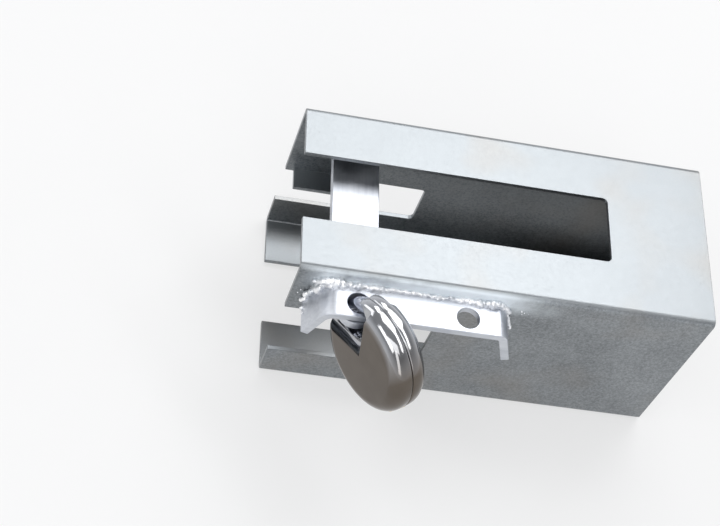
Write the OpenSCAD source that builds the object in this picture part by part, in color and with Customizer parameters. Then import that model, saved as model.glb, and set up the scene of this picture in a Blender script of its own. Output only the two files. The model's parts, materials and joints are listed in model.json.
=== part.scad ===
// Box lock for a trailer coupler: a folded steel box slides over the coupler,
// a tongue is pushed through its side walls, and a round padlock in the bracket
// on the near wall holds that tongue.
// X runs from the open rear mouth to the closed nose, Y across, Z up.

/* [Box] */
// Length of the box from rear mouth to nose
box_l = 250; // [220:1:300]
// Width over the side walls
box_w = 113; // [100:1:150]
// Height over the top plate and the lips
box_h = 125; // [120:1:150]
// Thickness of the folded sheet
sheet = 3; // [2:0.5:4]
// Inside radius of the folds
fold_r = 2; // [1:0.5:4]
// Width of the slot in the top plate
top_slot_w = 45; // [30:1:60]
// Length of the top slot from the rear mouth
top_slot_l = 187; // [120:1:210]
// Gap between the two lips at the bottom
lip_gap = 45; // [30:1:60]
// Corner radius of the slots and notches
cut_r = 3; // [1:0.5:4]

/* [Side notches] */
// Length of both side notches from the rear mouth
notch_l = 91; // [60:1:120]
// Height of the lower edge of both notches
notch_low = 28; // [15:1:35]
// Height of the upper edge of the near notch
near_notch_high = 79.5; // [60:0.5:84]
// Height of the upper edge of the far notch
far_notch_high = 61.5; // [45:0.5:80]
// Distance of the folded ledge on the far wall from the rear mouth
ledge_x = 5; // [3:0.5:20]
// Length of the folded ledge
ledge_l = 40; // [20:1:60]
// How far the ledge reaches into the box
ledge_reach = 14; // [8:0.5:20]

/* [Nose plate] */
// Thickness of the plate that closes the nose
nose_t = 3; // [2:0.5:5]
// How far the nose plate sits inside the end of the box
nose_inset = 3; // [2:0.5:6]
// Leg of the weld round the nose plate
nose_bead = 2.5; // [1.5:0.25:3]

/* [Bracket] */
// Distance of the bracket's rear foot from the rear mouth
bracket_x = 8; // [6:0.5:16]
// Length over the feet of the bracket's two legs
bracket_l = 125; // [118:1:150]
// How far the bracket stands out from the wall
bracket_reach = 21; // [20.5:0.5:24]
// Thickness of the bracket's flat bar
bracket_t = 5; // [4:0.5:6]
// Distance of the bracket's top from the top of the box
bracket_below = 11; // [9:0.5:16]
// Height over the bracket's legs
bracket_h = 25; // [20:0.5:30]
// Lean of the bracket's legs, which spread towards their feet
leg_splay = 20; // [10:1:22]
// Outside radius of the bracket's rear bend
rear_bend = 11; // [8:0.5:12]
// Outside radius of the bracket's fore bend
fore_bend = 6.5; // [6.5:0.5:12]
// Distance of the first eye from the bracket's rear foot
eye_x = 28.5; // [27:0.5:34]
// Distance between the two eyes
eye_pitch = 64.5; // [50:0.5:70]
// Distance of the eyes from the wall
eye_y = 11.6; // [11.3:0.1:12.5]
// Radius of the weld bead round the bracket
weld_r = 2.6; // [1.5:0.1:3.5]

/* [Tongue] */
// Thickness of the tongue
tongue_t = 6; // [5:0.5:7]
// Width of the tongue from its eye towards the rear
tongue_rear = 16; // [13:0.5:17]
// Width of the tongue from its eye towards the nose
tongue_fore = 12.5; // [11.5:0.5:18]
// Steel left round the tongue's eye
tongue_rim = 2.6; // [2:0.1:3]
// How far the tongue stands out of the far wall
tongue_past = 1; // [0.5:0.5:6]

/* [Padlock] */
// Diameter of the padlock
pad_d = 70; // [68:1:74]
// Thickness of the padlock
pad_t = 24; // [23:0.5:26]
// Rounding of the padlock's rim
pad_round = 9; // [6:0.5:10]
// Wall of the padlock's two shells
pad_wall = 1.5; // [1:0.1:1.8]
// Diameter of the shackle
shackle_d = 9; // [8.5:0.5:9.5]
// Room in the mouth beside the bracket and the tongue
mouth_room = 17.3; // [15:0.1:19]
// Distance of the mouth's floor from the padlock's centre
mouth_floor = 10.5; // [10:0.1:12]
// Half angle of the cone that scoops each face below the mouth
scoop_angle = 48; // [44:1:52]
// Distance of the scoop's tip from the padlock's centre
scoop_tip = 1.5; // [1:0.1:3]
// Turn of the padlock round the eye, away from square to the wall
pad_turn = 34; // [0:1:34]
// Angle at which the mouth points up
mouth_rise = 28; // [24:1:32]
// Height of the middle of the mouth's load above the padlock's centre
pad_drop = 9.2; // [7:0.1:10]
// Bevel along the seam of the two shells
seam_bevel = 0.5; // [0.2:0.1:0.8]

/* [Padlock works] */
// Turn of the shackle from shut to open
shackle_turn = 80; // [70:1:84]
// Turns of the key plug for one turn of the shackle
plug_ratio = 1.5; // [1.4:0.05:1.6]
// Diameter of the pivot pin
pivot_d = 5; // [4:0.5:5.5]
// Diameter of the carrier's hub
hub_d = 16.4; // [15:0.2:16.8]
// Height of the carrier's hub
hub_h = 9; // [8:0.5:9.5]
// Thickness of the carrier's web
web_t = 5; // [3:0.5:5]
// Width of the carrier's web
web_w = 7; // [6:0.5:7.5]
// Thickness of the two washers on the pivot
washer_t = 0.5; // [0.3:0.1:0.6]
// Diameter of the rivets through shackle and web
rivet_d = 2.6; // [2:0.1:3]
// Diameter of the key plug
plug_d = 8.8; // [8:0.2:9]
// Diameter of the cylinder's housing
housing_d = 14; // [13:0.2:14.4]
// Diameter of the cylinder's neck in the rim
neck_d = 12; // [11:0.2:12.6]
// Number of pin stacks
pin_count = 4; // [2:1:4]
// Distance between the pin stacks
pin_pitch = 3.5; // [3.3:0.1:3.6]
// Diameter of the pins
pin_d = 2.4; // [2:0.1:2.6]
// Diameter of the driving pin on the crank
crank_pin_d = 3; // [2.6:0.1:3.2]
// Distance of the driving pin from the plug's axis
crank_throw = 6.3; // [6:0.1:6.5]
// Thickness of the crank
crank_t = 1.8; // [1.4:0.1:2]
// Wire of the pin springs
spring_wire = 0.35; // [0.25:0.01:0.4]
// Width of the keyway
keyway_w = 1.8; // [1.2:0.1:2]

/* [Clearances] */
// Gap round the shackle in the eyes of bracket and tongue
eye_gap = 0.3; // [0.3:0.05:0.5]
// Gap of the tongue in its slots
tongue_gap = 0.3; // [0.2:0.05:0.5]
// Gap between the tongue and the bracket above it
tongue_under = 0.7; // [0.5:0.1:1]
// Gap round parts that slide inside the padlock
run_gap = 0.3; // [0.25:0.05:0.35]
// Gap of turning fits
turn_gap = 0.05; // [0.03:0.01:0.08]
// Gap of fixed fits
seat_gap = 0.02; // [0.01:0.01:0.05]

/* [Hidden] */
$fn = 96;
// Overlap that lets a cut pass clear of a face
over = 1;

// Walls of the box
near_y = -box_w / 2;
far_y = box_w / 2;
outer_r = fold_r + sheet;
inner_w = box_w - 2 * sheet;
inner_h = box_h - 2 * sheet;

// Bracket, eyes and tongue
bracket_top = box_h - bracket_below;
shelf_under = bracket_top - bracket_t;
foot_z = bracket_top - bracket_h;
lean = bracket_h * tan(leg_splay);
// Distance from the corner of leg and top to the start of a bend of outside radius r
function bend_run(r) = r * tan((90 - leg_splay) / 2);
shelf_x0 = bracket_x + lean + bend_run(rear_bend);
shelf_x1 = bracket_x + bracket_l - lean - bend_run(fore_bend);
// The bar's straight runs reach this far into its bends, which are a hair thicker on both faces
bend_lap = 0.2;
bend_step = 0.01;
// The bead's straight runs reach this far into its bends, which are a little thicker
weld_lap = 1;
weld_step = 0.1;
eye_at = [bracket_x + eye_x, near_y - eye_y];
tongue_top = shelf_under - tongue_under;
tongue_low = tongue_top - tongue_t;
tongue_x0 = eye_at[0] - tongue_rear;
tongue_x1 = eye_at[0] + tongue_fore;
side_slot_x0 = tongue_x0 - tongue_gap;
side_slot_x1 = tongue_x1 + eye_pitch + tongue_gap;
side_slot_low = tongue_low - tongue_gap;
side_slot_r = 2 * tongue_gap;

// Padlock sizes
pad_r = pad_d / 2;
half_t = pad_t / 2;
shackle_rad = shackle_d / 2;
ring_r = pad_r - pad_wall - run_gap - shackle_rad;
scoop_depth = half_t - shackle_rad - run_gap - pad_wall;
mouth_w = bracket_top - tongue_low + mouth_room;
mouth_c = mouth_floor + mouth_w / 2;

// Place of the padlock: its shackle ring passes through the eye
load_mid = (bracket_top + tongue_low) / 2;
pad_z = load_mid - pad_drop;
// Distance of a circle of radius r round the padlock's centre from its middle, at height z
function round_at(r, z) = sqrt(r * r - pow(z - pad_z, 2));
rod_in = ring_r - shackle_rad;
rod_out = ring_r + shackle_rad;
// The eye's axis runs through the middle of what the shackle fills within the bracket's thickness
pad_out = (round_at(rod_in, bracket_top) + round_at(rod_out, shelf_under)) / 2;
eye_r = round_at(rod_out, shelf_under) - pad_out + eye_gap;
tongue_eye_r = round_at(rod_out, tongue_low) - pad_out + eye_gap;
pad_at = [
    eye_at[0] + pad_out * sin(pad_turn),
    eye_at[1] - pad_out * cos(pad_turn),
    pad_z
];

// Shackle and carrier, as angles from the middle of the mouth
tip_past = 5;
shut_tip = shackle_turn / 2 + tip_past;
web_angle = -56;
web_span = asin(web_w / 2 / ring_r);
shackle_end = web_angle - web_span;
rivet_shift = web_w / 4;

// Pivot and bosses
pivot_r = pivot_d / 2;
boss_wall = 2;
boss_r = pivot_r + boss_wall;
boss_z = hub_h / 2 + washer_t + 2 * turn_gap;
pivot_grip = 2.4;
pivot_half = boss_z + pivot_grip;

// Key cylinder: its axis lies opposite the mouth
plug_r = plug_d / 2;
housing_r = housing_d / 2;
plug_swing = shackle_turn * plug_ratio;
drive_r = crank_throw * sin(plug_swing / 2) / tan(shackle_turn / 2);
crank_room = 2;
crank_x1 = -(hub_d / 2 + crank_room);
crank_x0 = crank_x1 - crank_t;
clip_t = 0.7;
clip_x0 = crank_x0 - seat_gap - clip_t;
housing_x1 = clip_x0 - turn_gap;
housing_back = 2;
housing_x0 = -(pad_r - pad_wall - housing_back);
neck_inset = 0.4;
neck_x0 = -(pad_r - neck_inset);
plug_inset = 0.3;
plug_x0 = neck_x0 + plug_inset;
tenon_share = 0.9;
tenon_w = tenon_share * plug_r;
groove_depth = 0.8;
groove_r = plug_r - groove_depth;
clip_rim = 1.4;
clip_r = plug_r + clip_rim;
clip_gap_share = 1.2;
clip_gap = clip_gap_share * groove_r;
bore_r = plug_r + turn_gap;
pin_r = pin_d / 2;
pin_hole_r = pin_r + turn_gap;
pin_wall = 1.2;
pin_margin = pin_hole_r + pin_wall;
block_w = 2 * pin_margin;
pin_x0 = housing_x1 - pin_margin - (pin_count - 1) * pin_pitch;
block_x0 = pin_x0 - pin_margin;
block_l = housing_x1 - block_x0;
// Height of the shell's hollow at distance r from the padlock's middle
hollow_rim = pad_round - pad_wall;
function hollow_z(r) = half_t - pad_round + sqrt(pow(hollow_rim, 2) - pow(max(r - pad_r + pad_round, 0), 2));
cap_t = 0.7;
cap_z1 = hollow_z(norm([block_x0, pin_margin])) - run_gap;
cap_z0 = cap_z1 - cap_t;
key_pin_top = sqrt(pow(plug_r - turn_gap, 2) - pin_r * pin_r);
driver_z0 = bore_r + turn_gap;
driver_h = 2;
spring_z0 = driver_z0 + driver_h + seat_gap;
spring_z1 = cap_z0 - seat_gap;
keyway_share = 0.35;
keyway_top = keyway_share * plug_r;
// Key pins are cut to a few lengths, as a key's notches ask
key_pin_least = 1.6;
key_pin_step = 0.3;
function key_pin_len(i) = key_pin_least + key_pin_step * ((i * 2) % 3);

// Driving slot in the carrier
crank_pin_r = crank_pin_d / 2;
crank_pin_short = 1.1;
crank_pin_tip = drive_r - crank_pin_short;
arm_rim = 0.8;
arm_w = crank_pin_d + 2 * arm_rim;
crank_hub_step = 0.6;
crank_hub_r = plug_r - crank_hub_step;
slot_play = 1.15;
lug_past = 0.6;
lug_r = hub_d / 2 + lug_past;
lug_top = crank_throw + crank_pin_r + run_gap;
lug_cheek = 2.6;
slot_w = crank_pin_d + 2 * slot_play;
slot_z0 = crank_throw * cos(plug_swing / 2) - crank_pin_r - run_gap;

// Pin springs: a helix of spring_turns turns, as one tube
spring_turns = 2.5;
spring_rings = 8;
spring_sides = 6;
spring_r = pin_r - spring_wire / 2 - turn_gap;
spring_rise = (spring_z1 - spring_z0 - spring_wire) / spring_turns;

// Least distance between neighbouring turns, measured on points of the helix
function helix(u) = [spring_r * cos(360 * u), spring_r * sin(360 * u), spring_rise * u];
gap_points = 40;
gap_skip = 8;
gap_at = spring_turns / gap_points;
spring_gap = min([
    for (i = [0:gap_points], j = [0:gap_points])
        if (abs(i - j) > gap_skip) norm(helix(i * gap_at) - helix(j * gap_at))
]) - spring_wire;
echo(least_spring_gap = spring_gap);

steel = [0.72, 0.74, 0.76];
bright = [0.80, 0.81, 0.82];
bead = [0.62, 0.63, 0.64];
brass = [0.78, 0.66, 0.36];

// Rectangle from the origin with four round corners
module round_rect(w, h, r) {
    translate([r, 0]) square([w - 2 * r, h]);
    translate([0, r]) square([w, h - 2 * r]);
    for (x = [r, w - r], y = [r, h - r])
        translate([x, y]) circle(r);
}

// Sweeps a shape drawn across the box, with Y to its right and Z up, along X
module along_x(x0, x1) {
    translate([x0, 0, 0]) rotate([90, 0, 90]) linear_extrude(x1 - x0) children();
}

// Sweeps a shape drawn on a side wall, with X to its right and Z up, from y1 back to y0
module along_y(y0, y1) {
    translate([0, y1, 0]) rotate([90, 0, 0]) linear_extrude(y1 - y0) children();
}

// Hole with corners of radius r through one side wall
module wall_cut(y, x0, x1, z0, z1, r) {
    along_y(y - sheet - over, y + sheet + over)
        translate([x0, z0]) round_rect(x1 - x0, z1 - z0, r);
}

// Inside of the folded box, as seen along X
module box_inside() {
    translate([-inner_w / 2, sheet]) round_rect(inner_w, inner_h, fold_r);
}

// Ledge folded inwards from the far wall at the top of its notch
module far_ledge() {
    along_x(ledge_x, ledge_x + ledge_l) difference() {
        translate([far_y - sheet - ledge_reach, far_notch_high])
            square([ledge_reach + sheet, sheet]);
        translate([far_y - sheet, far_notch_high]) difference() {
            square([sheet + over, sheet]);
            translate([0, sheet]) circle(sheet);
        }
    }
}

module box_shell() {
    color(steel) {
        difference() {
            along_x(0, box_l) difference() {
                translate([near_y, 0]) round_rect(box_w, box_h, outer_r);
                box_inside();
                translate([-lip_gap / 2, -over]) square([lip_gap, sheet + 2 * over]);
            }
            // Slot in the top plate, open at the rear
            translate([-2 * cut_r, -top_slot_w / 2, box_h - sheet - over])
                linear_extrude(sheet + 2 * over)
                    round_rect(top_slot_l + 2 * cut_r, top_slot_w, cut_r);
            // Notches in both side walls, open at the rear
            wall_cut(near_y, -2 * cut_r, notch_l, notch_low, near_notch_high, cut_r);
            wall_cut(far_y, -2 * cut_r, notch_l, notch_low, far_notch_high, cut_r);
            // Slots in which the tongue slides and can be moved from eye to eye
            for (y = [near_y, far_y])
                wall_cut(y, side_slot_x0, side_slot_x1, side_slot_low, shelf_under, side_slot_r);
            // Rounded fold above the ledge
            along_x(ledge_x, ledge_x + ledge_l) translate([far_y - sheet, far_notch_high])
                difference() {
                    square([sheet + over, sheet]);
                    translate([0, sheet]) circle(sheet);
                }
        }
        far_ledge();
    }
}

nose_x1 = box_l - nose_inset;
nose_x0 = nose_x1 - nose_t;
nose_corner = fold_r + run_gap;

module nose_plate() {
    color(steel) along_x(nose_x0, nose_x1)
        translate([-inner_w / 2, sheet]) round_rect(inner_w, inner_h, nose_corner);
}

// Round bead along one edge of the nose plate
module nose_edge(y, z, len, turn) {
    translate([nose_x1, y, z]) rotate([turn, 0, 0])
        translate([0, 0, -len / 2]) cylinder(r = nose_bead, h = len);
}

module nose_weld() {
    lip = (inner_w - lip_gap) / 2;
    color(bead) intersection() {
        along_x(nose_x1, nose_x1 + nose_bead + over) box_inside();
        union() {
            nose_edge(0, sheet + inner_h, inner_w, 90);
            for (side = [-1, 1]) {
                nose_edge(side * inner_w / 2, sheet + inner_h / 2, inner_h, 0);
                nose_edge(side * (inner_w - lip) / 2, sheet, lip, 90);
            }
        }
    }
}

// One leg and its bend of outside radius r, seen from the near side, with the
// outside of its foot at the origin
module bent_leg(r) {
    rotate(-leg_splay) square([bracket_t, bracket_h / cos(leg_splay) - bend_run(r) + bend_lap]);
    translate([lean + bend_run(r), bracket_h - r]) intersection() {
        difference() {
            circle(r + bend_step);
            circle(r - bracket_t - bend_step);
        }
        polygon(2 * r * [[0, 0], [0, 1], [-1, 1], [-cos(leg_splay), sin(leg_splay)]]);
    }
}

// The bent flat bar seen from the near side
module bracket_bar() {
    translate([bracket_x, foot_z]) bent_leg(rear_bend);
    translate([shelf_x0 - bend_lap, shelf_under]) square([shelf_x1 - shelf_x0 + 2 * bend_lap, bracket_t]);
    translate([bracket_x + bracket_l, foot_z]) mirror([1, 0]) bent_leg(fore_bend);
}

module lock_bracket() {
    color(bright) difference() {
        along_y(near_y - bracket_reach, near_y) bracket_bar();
        for (i = [0, 1])
            translate([eye_at[0] + i * eye_pitch, eye_at[1], shelf_under - over])
                cylinder(r = eye_r, h = bracket_t + 2 * over);
    }
}

// Quarter of a round bead, which fills the corner between two faces
module quarter(r) {
    intersection() {
        circle(r);
        square(r);
    }
}

// Straight run of the bead along Z, in the corner that opens to -X and -Y
module straight_bead(len) {
    translate([-2 * bend_step, 0, 0]) linear_extrude(len) rotate(180) quarter(weld_r);
}

// Bead along one leg and round its bend of radius r, with the outside of the foot at the origin
module leg_bead(r) {
    rotate([0, leg_splay, 0]) straight_bead(bracket_h / cos(leg_splay) - bend_run(r) + weld_lap);
    translate([lean + bend_run(r), 0, bracket_h - r]) rotate([90, 0, 0]) rotate([0, 0, 90])
        rotate_extrude(angle = 90 - leg_splay) translate([r + bend_step, 0]) quarter(weld_r + weld_step);
}

// Bead that follows the bracket's outline on the wall: leg, bend, top, bend, leg
module bracket_weld() {
    color(bead) translate([0, near_y, 0]) {
        translate([bracket_x, 0, foot_z]) leg_bead(rear_bend);
        translate([shelf_x0 - weld_lap, 0, bracket_top]) rotate([0, 90, 0])
            straight_bead(shelf_x1 - shelf_x0 + 2 * weld_lap);
        translate([bracket_x + bracket_l, 0, foot_z]) mirror([1, 0, 0]) leg_bead(fore_bend);
    }
}

module locking_tongue() {
    end_r = tongue_eye_r + tongue_rim;
    tongue_y1 = far_y + tongue_past;
    color(steel) translate([0, 0, tongue_low]) difference() {
        union() {
            translate([tongue_x0, near_y, 0])
                cube([tongue_x1 - tongue_x0, tongue_y1 - near_y, tongue_t]);
            translate([eye_at[0], eye_at[1], 0]) cylinder(r = end_r, h = tongue_t);
            translate([eye_at[0] - end_r, eye_at[1], 0]) cube([2 * end_r, eye_y, tongue_t]);
        }
        translate([eye_at[0], eye_at[1], -over]) cylinder(r = tongue_eye_r, h = tongue_t + 2 * over);
    }
}

// Puts a piece drawn flat, with the mouth along X and the front face up, in its hanging place
module on_padlock() {
    translate(pad_at) rotate([0, 0, pad_turn]) rotate([0, -90, 0]) rotate([0, 0, 90 - mouth_rise])
        children();
}

// Half of a round body with a rounded rim, standing on its middle plane
module half_disc(r, h, rim) {
    rotate_extrude() intersection() {
        square([r, h]);
        union() {
            square([r - rim, h]);
            square([r, h - rim]);
            translate([r - rim, h - rim]) circle(rim);
        }
    }
}

// The open mouth, with its walls moved out by grow
module mouth(grow) {
    half_w = mouth_w / 2 + grow;
    translate([mouth_c, 0, -over]) cylinder(r = half_w, h = pad_t);
    translate([mouth_c, -half_w, -over]) cube([pad_d, 2 * half_w, pad_t]);
}

// Conical scoop in the face below the mouth, with its walls moved out by grow
module scoop(grow) {
    intersection() {
        translate([scoop_tip - grow / sin(scoop_angle), 0, half_t]) rotate([0, 90, 0])
            cylinder(r1 = 0, r2 = pad_d * tan(scoop_angle), h = pad_d);
        translate([-pad_d, -pad_d, half_t - scoop_depth - grow]) cube([2 * pad_d, 2 * pad_d, pad_t]);
    }
}

// Hollow inside one shell, with a boss left standing for the pivot
module shell_hollow() {
    difference() {
        half_disc(pad_r - pad_wall, half_t - pad_wall, pad_round - pad_wall);
        mouth(pad_wall);
        scoop(pad_wall);
        translate([0, 0, boss_z]) cylinder(r = boss_r, h = pad_t);
    }
}

module half_shell() {
    difference() {
        half_disc(pad_r, half_t, pad_round);
        mouth(0);
        scoop(0);
        shell_hollow();
        // Way for the shackle through the sides of the mouth
        rotate_extrude() translate([ring_r, 0]) circle(shackle_rad + run_gap - seat_gap);
        // Hole for the cylinder's neck opposite the mouth
        on_plug_axis(-pad_d, -pad_r / 2, neck_d / 2 + run_gap);
        // Blind seat of the pivot pin
        cylinder(r = pivot_r + seat_gap, h = pivot_half + seat_gap);
        // Bevel along the seam
        rotate_extrude() polygon([
            [pad_r - seam_bevel, 0], [pad_r + over, -over], [pad_r + over, seam_bevel + over]
        ]);
    }
}

module front_shell() {
    color(bright) on_padlock() half_shell();
}

module rear_shell() {
    color(bright) on_padlock() mirror([0, 0, 1]) half_shell();
}

module pivot_pin() {
    color(steel) on_padlock() translate([0, 0, -pivot_half]) cylinder(r = pivot_r, h = 2 * pivot_half);
}

module pivot_washers() {
    color(brass) on_padlock() for (side = [-1, 1])
        translate([0, 0, side * (boss_z - washer_t / 2 - turn_gap / 2) - washer_t / 2]) difference() {
            cylinder(r = boss_r, h = washer_t);
            translate([0, 0, -over]) cylinder(r = pivot_r + turn_gap, h = washer_t + 2 * over);
        }
}

// Places a piece on the line of the carrier's web
module on_web() {
    rotate([0, 0, web_angle]) children();
}

module rivet_rows(r, h) {
    on_web() for (side = [-1, 1])
        translate([ring_r, side * rivet_shift, -h / 2]) cylinder(r = r, h = h);
}

module shackle() {
    color(bright) on_padlock() difference() {
        rotate([0, 0, shackle_end]) rotate_extrude(angle = shut_tip - shackle_end)
            translate([ring_r, 0]) circle(shackle_rad);
        on_web() translate([0, -web_w, -web_t / 2 - seat_gap])
            cube([ring_r + web_w / 2 + seat_gap, 1.5 * web_w + seat_gap, web_t + 2 * seat_gap]);
        rivet_rows(rivet_d / 2 + seat_gap, pad_t);
    }
}

// Slot along the hub in which the crank's driving pin works, at its shut angle
module drive_slot() {
    rotate([0, 0, 180 + shackle_turn / 2])
        translate([boss_r + seat_gap, -slot_w / 2, slot_z0]) cube([pad_r, slot_w, pad_t]);
}

module shackle_carrier() {
    color(steel) on_padlock() difference() {
        union() {
            translate([0, 0, -hub_h / 2]) cylinder(d = hub_d, h = hub_h);
            on_web() translate([0, -web_w / 2, -web_t / 2]) cube([ring_r + web_w / 2, web_w, web_t]);
            // Two cheeks beside the driving slot
            rotate([0, 0, 180 + shackle_turn / 2]) intersection() {
                translate([boss_r + run_gap, -slot_w / 2 - lug_cheek, 0])
                    cube([lug_r, slot_w + 2 * lug_cheek, lug_top]);
                cylinder(r = lug_r, h = lug_top);
            }
        }
        drive_slot();
        translate([0, 0, -pad_t]) cylinder(r = pivot_r + turn_gap, h = 2 * pad_t);
        rivet_rows(rivet_d / 2 + seat_gap, pad_t);
    }
}

module carrier_rivets() {
    rivet_h = 2 * sqrt(shackle_rad * shackle_rad - rivet_d * rivet_d / 4) - 2 * turn_gap;
    color(steel) on_padlock() rivet_rows(rivet_d / 2, rivet_h);
}

// Cylinder along the plug's axis between two places
module on_plug_axis(x0, x1, r) {
    translate([x0, 0, 0]) rotate([0, 90, 0]) cylinder(r = r, h = x1 - x0);
}

// Repeats a piece at each pin stack
module at_pins() {
    for (i = [0:pin_count - 1])
        translate([pin_x0 + i * pin_pitch, 0, 0]) children();
}

module cylinder_housing() {
    color(brass) on_padlock() difference() {
        union() {
            on_plug_axis(housing_x0, housing_x1, housing_r);
            on_plug_axis(neck_x0, housing_x0, neck_d / 2);
            translate([block_x0, -pin_margin, 0]) cube([block_l, block_w, cap_z0]);
        }
        on_plug_axis(neck_x0 - over, housing_x1 + over, bore_r);
        at_pins() cylinder(r = pin_hole_r, h = pad_t);
    }
}

module chamber_cap() {
    color(steel) on_padlock() translate([block_x0, -pin_margin, cap_z0]) cube([block_l, block_w, cap_t]);
}

module driver_pins() {
    color(bright) on_padlock() at_pins() translate([0, 0, driver_z0]) cylinder(r = pin_r, h = driver_h);
}

// Tube along the helix: rings of points, walls between them and two end faces
module spring_coil() {
    last = ceil(spring_turns * spring_rings);
    slope = atan(spring_rise / (2 * PI * spring_r));
    points = [
        for (i = [0:last], j = [0:spring_sides - 1])
            let (u = i / spring_rings, a = 360 * u, b = 360 * j / spring_sides, w = spring_wire / 2)
                helix(u) + w * cos(b) * [cos(a), sin(a), 0]
                + w * sin(b) * [sin(a) * sin(slope), -cos(a) * sin(slope), cos(slope)]
    ];
    faces = [
        for (i = [0:last - 1], j = [0:spring_sides - 1])
            let (k = (j + 1) % spring_sides, p = i * spring_sides, q = p + spring_sides)
                each [[p + j, q + j, q + k], [p + j, q + k, p + k]]
    ];
    start = [for (j = [1:spring_sides - 2]) [0, j, j + 1]];
    end = last * spring_sides;
    stop = [for (j = [1:spring_sides - 2]) [end, end + j + 1, end + j]];
    polyhedron(points, concat(faces, start, stop));
}

module pin_springs() {
    color(steel) on_padlock() at_pins() translate([0, 0, spring_z0 + spring_wire / 2]) spring_coil();
}

module key_plug() {
    color(brass) on_padlock() difference() {
        union() {
            on_plug_axis(plug_x0, crank_x0, plug_r);
            translate([crank_x0 - over, -tenon_w / 2, -tenon_w / 2])
                cube([crank_t + over, tenon_w, tenon_w]);
        }
        // Groove of the clip
        difference() {
            on_plug_axis(clip_x0 - seat_gap, clip_x0 + clip_t + seat_gap, plug_d);
            on_plug_axis(clip_x0 - over, crank_x0 + over, groove_r);
        }
        // Keyway with one ward
        translate([plug_x0 - over, -keyway_w / 2, -plug_d])
            cube([housing_x1 - plug_x0, keyway_w, plug_d + keyway_top]);
        translate([plug_x0 - over, 0, -plug_r / 3])
            cube([housing_x1 - plug_x0, keyway_w, keyway_w / 2]);
        at_pins() translate([0, 0, keyway_top - over]) cylinder(r = pin_hole_r, h = plug_d);
    }
}

module plug_clip() {
    color(steel) on_padlock() difference() {
        on_plug_axis(clip_x0, clip_x0 + clip_t, clip_r);
        on_plug_axis(clip_x0 - over, clip_x0 + clip_t + over, groove_r + seat_gap);
        translate([clip_x0 - over, -clip_gap / 2, -2 * plug_d])
            cube([clip_t + 2 * over, clip_gap, 2 * plug_d]);
    }
}

// Crank on the plug's tenon, drawn at its shut angle
module drive_crank() {
    color(steel) on_padlock() difference() {
        rotate([plug_swing / 2, 0, 0]) union() {
            on_plug_axis(crank_x0 + seat_gap, crank_x1, crank_hub_r);
            translate([crank_x0 + seat_gap, -arm_w / 2, 0]) cube([crank_t - seat_gap, arm_w, crank_throw]);
            translate([0, 0, crank_throw]) {
                on_plug_axis(crank_x0 + seat_gap, crank_x1, arm_w / 2);
                on_plug_axis(crank_x1 - over / 2, -crank_pin_tip, crank_pin_r);
            }
        }
        translate([crank_x0 - over, -tenon_w / 2 - seat_gap, -tenon_w / 2 - seat_gap])
            cube([crank_t + 2 * over, tenon_w + 2 * seat_gap, tenon_w + 2 * seat_gap]);
    }
}

module key_pins() {
    color(brass) on_padlock() for (i = [0:pin_count - 1])
        translate([pin_x0 + i * pin_pitch, 0, key_pin_top - key_pin_len(i)]) {
            cylinder(r = pin_r, h = key_pin_len(i));
            translate([0, 0, -pin_r / 2]) cylinder(r1 = pin_r / 2, r2 = pin_r, h = pin_r / 2);
        }
}

box_shell();
nose_plate();
nose_weld();
lock_bracket();
bracket_weld();
locking_tongue();
front_shell();
rear_shell();
pivot_pin();
pivot_washers();
shackle();
shackle_carrier();
carrier_rivets();
cylinder_housing();
chamber_cap();
driver_pins();
pin_springs();
key_plug();
plug_clip();
drive_crank();
key_pins();
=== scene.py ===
# %% [markdown]
# # A box lock for a parked trailer
# A folded, galvanised steel box keeps a parked trailer from being towed away. A flat tongue is pushed
# through its side walls, and a round padlock in the welded bracket keeps that tongue in place.
# The solids of the lock are already there as a frame. This lesson models the visible pieces over them, with
# the rounded edges, weld drops and finishes that the solids lack.

# %% Load the frame
import bmesh
import bpy
import json
import math
import random
from mathutils import Matrix, Vector


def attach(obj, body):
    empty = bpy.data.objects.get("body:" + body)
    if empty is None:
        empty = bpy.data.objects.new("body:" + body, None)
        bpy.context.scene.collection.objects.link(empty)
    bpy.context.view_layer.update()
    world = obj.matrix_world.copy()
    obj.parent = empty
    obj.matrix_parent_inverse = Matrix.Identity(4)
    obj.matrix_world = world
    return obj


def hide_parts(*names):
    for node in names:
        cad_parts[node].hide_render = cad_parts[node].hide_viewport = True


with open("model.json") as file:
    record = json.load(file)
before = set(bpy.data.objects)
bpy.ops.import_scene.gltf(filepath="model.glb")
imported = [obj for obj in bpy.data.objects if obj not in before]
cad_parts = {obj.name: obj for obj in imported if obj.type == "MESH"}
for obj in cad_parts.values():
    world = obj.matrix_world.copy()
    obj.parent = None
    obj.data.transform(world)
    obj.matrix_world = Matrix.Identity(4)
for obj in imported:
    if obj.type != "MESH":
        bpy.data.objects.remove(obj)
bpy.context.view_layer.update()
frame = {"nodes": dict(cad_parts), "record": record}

# %% [markdown]
# Every size on a workshop drawing is in millimetres, and Blender works in metres. One function turns one
# into the other, so the numbers below can be read with a ruler in hand. Colours are written as a colour
# picker shows them, and shaders need linear light, so a second function turns one into the other.

# %% Millimetres and colours
def mm(*values):
    """Turns millimetres into metres: one number, or a vector of three."""
    metres = [value / 1000 for value in values]
    return metres[0] if len(metres) == 1 else Vector(metres)


def colour(hex_code):
    """Turns an sRGB hex colour, as a colour picker shows it, into the linear values that shaders need."""
    channels = [int(hex_code[i:i + 2], 16) / 255 for i in (1, 3, 5)]
    linear = [c / 12.92 if c <= 0.04045 else ((c + 0.055) / 1.055) ** 2.4 for c in channels]
    return (*linear, 1)


# %% [markdown]
# The camera looks at the lock as the photograph does: from high above the near side, a little behind the
# rear mouth. Its place was worked out from the straight edges of the box. The photograph is also tilted
# sideways, so the camera is rolled about its own axis.

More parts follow.
